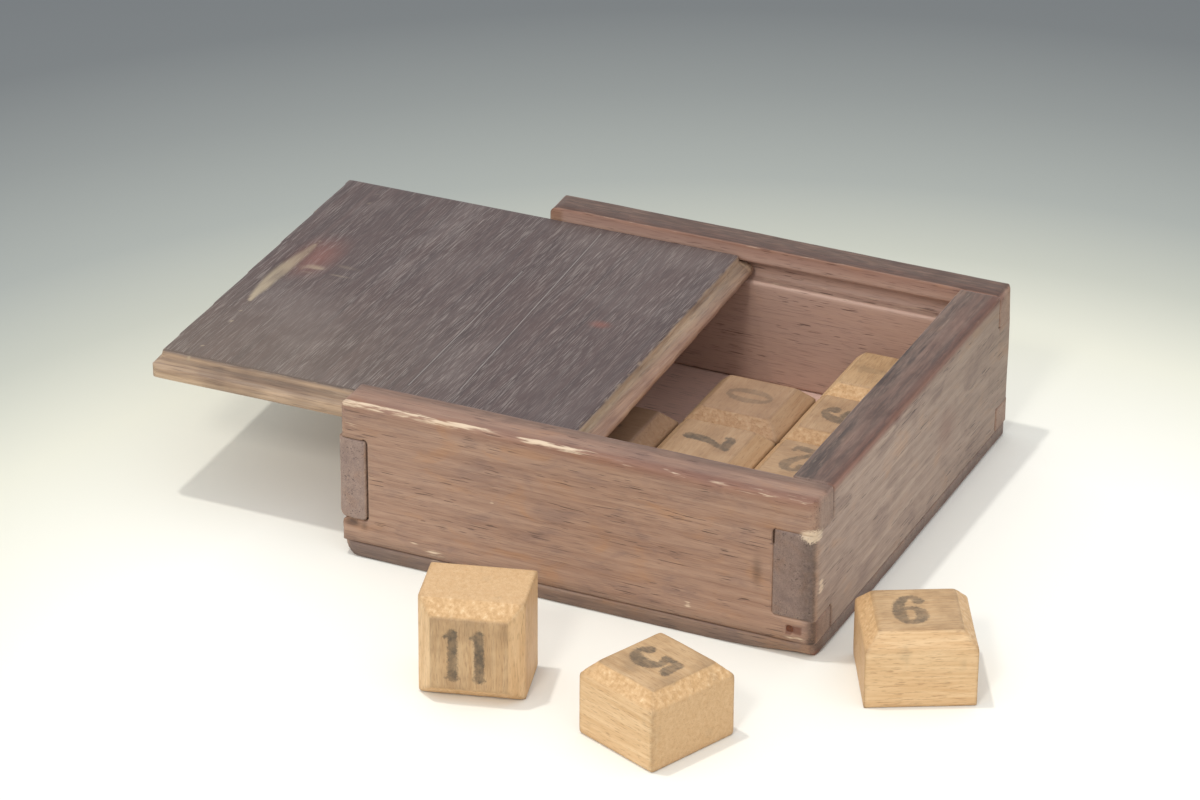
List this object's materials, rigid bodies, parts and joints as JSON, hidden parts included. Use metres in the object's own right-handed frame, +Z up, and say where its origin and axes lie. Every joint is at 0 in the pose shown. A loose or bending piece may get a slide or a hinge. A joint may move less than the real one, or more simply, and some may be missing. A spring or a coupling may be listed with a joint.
{
  "type": "sliding block puzzle",
  "caption": "Flat square wooden box with a slide-out lid, holding chamfered square number blocks that shift about a tray with empty places; loose blocks stand in front.",
  "frame": {"origin": "centre of the box's underside, on the table", "axes": "+Z up; the lid opens towards -X, away from the fixed end wall at +X; -Y is the front, where three blocks stand loose"},
  "size_m": [0.2252, 0.1897, 0.0422],
  "materials": {
    "side_wall_wood": "old stained hardwood planed and rubbed smooth",
    "end_wall_wood": "old stained hardwood planed and rubbed smooth",
    "bottom_wood": "thin stained hardwood board, dark with dirt at its edges",
    "lid_wood": "dark stained open-grained hardwood, dry and scratched",
    "block_wood": "bare light hardwood, sawn and sanded, with stamped numerals",
    "nail_iron": "blackened cut iron nail"
  },
  "bodies": {
    "box": {"front_wall": "side_wall_wood", "back_wall": "side_wall_wood", "fixed_end_wall": "end_wall_wood", "open_end_wall": "end_wall_wood", "bottom_board": "bottom_wood", "bottom_nail_1": "nail_iron", "bottom_nail_2": "nail_iron", "bottom_nail_3": "nail_iron", "bottom_nail_4": "nail_iron", "bottom_nail_5": "nail_iron", "bottom_nail_6": "nail_iron", "bottom_nail_7": "nail_iron", "bottom_nail_8": "nail_iron", "corner_nail_1": "nail_iron", "corner_nail_2": "nail_iron"},
    "lid": {"lid": "lid_wood"},
    "block_1": {"block_1": "block_wood"},
    "block_2": {"block_2": "block_wood"},
    "block_3": {"block_3": "block_wood"},
    "block_4": {"block_4": "block_wood"},
    "block_5": {"block_5": "block_wood"},
    "block_6": {"block_6": "block_wood"},
    "block_7": {"block_7": "block_wood"},
    "block_8": {"block_8": "block_wood"},
    "block_9": {"block_9": "block_wood"},
    "block_10": {"block_10": "block_wood"},
    "block_11": {"block_11": "block_wood"},
    "block_12": {"block_12": "block_wood"},
    "block_13": {"block_13": "block_wood"},
    "block_14": {"block_14": "block_wood"},
    "block_15": {"block_15": "block_wood"}
  },
  "joints": [
    {"name": "lid_slide", "type": "slide", "parent": "box", "child": "lid", "axis": [-1, 0, 0], "range_m": [-0.0555, 0.064]},
    {"name": "block_1_slide", "type": "slide", "parent": "box", "child": "block_1", "axis": [1, 0, 0], "range_m": [-0.08, 0]},
    {"name": "block_3_slide", "type": "slide", "parent": "box", "child": "block_3", "axis": [0, 1, 0], "range_m": [0, 0.0288]},
    {"name": "block_4_slide", "type": "slide", "parent": "box", "child": "block_4", "axis": [0, 1, 0], "range_m": [0, 0.0547]},
    {"name": "block_10_slide", "type": "slide", "parent": "box", "child": "block_10", "axis": [0, 1, 0], "range_m": [0, 0.0288]},
    {"name": "block_2_lift", "type": "slide", "parent": "box", "child": "block_2", "axis": [0, 0, 1], "range_m": [0, 0.045]},
    {"name": "block_7_lift", "type": "slide", "parent": "box", "child": "block_7", "axis": [0, 0, 1], "range_m": [0, 0.045]},
    {"name": "block_9_lift", "type": "slide", "parent": "box", "child": "block_9", "axis": [0, 0, 1], "range_m": [0, 0.045]},
    {"name": "block_12_lift", "type": "slide", "parent": "box", "child": "block_12", "axis": [0, 0, 1], "range_m": [0, 0.045]},
    {"name": "block_14_lift", "type": "slide", "parent": "box", "child": "block_14", "axis": [0, 0, 1], "range_m": [0, 0.045]},
    {"name": "block_8_lift", "type": "slide", "parent": "box", "child": "block_8", "axis": [0, 0, 1], "range_m": [0, 0.009]},
    {"name": "block_13_lift", "type": "slide", "parent": "box", "child": "block_13", "axis": [0, 0, 1], "range_m": [0, 0.009]},
    {"name": "block_15_lift", "type": "slide", "parent": "box", "child": "block_15", "axis": [0, 0, 1], "range_m": [0, 0.009]},
    {"name": "block_5_lift", "type": "slide", "parent": "box", "child": "block_5", "axis": [0, 0, 1], "range_m": [0, 0.045]},
    {"name": "block_6_lift", "type": "slide", "parent": "box", "child": "block_6", "axis": [0, 0, 1], "range_m": [0, 0.045]},
    {"name": "block_11_lift", "type": "slide", "parent": "box", "child": "block_11", "axis": [0, 0, 1], "range_m": [0, 0.045]}
  ]
}
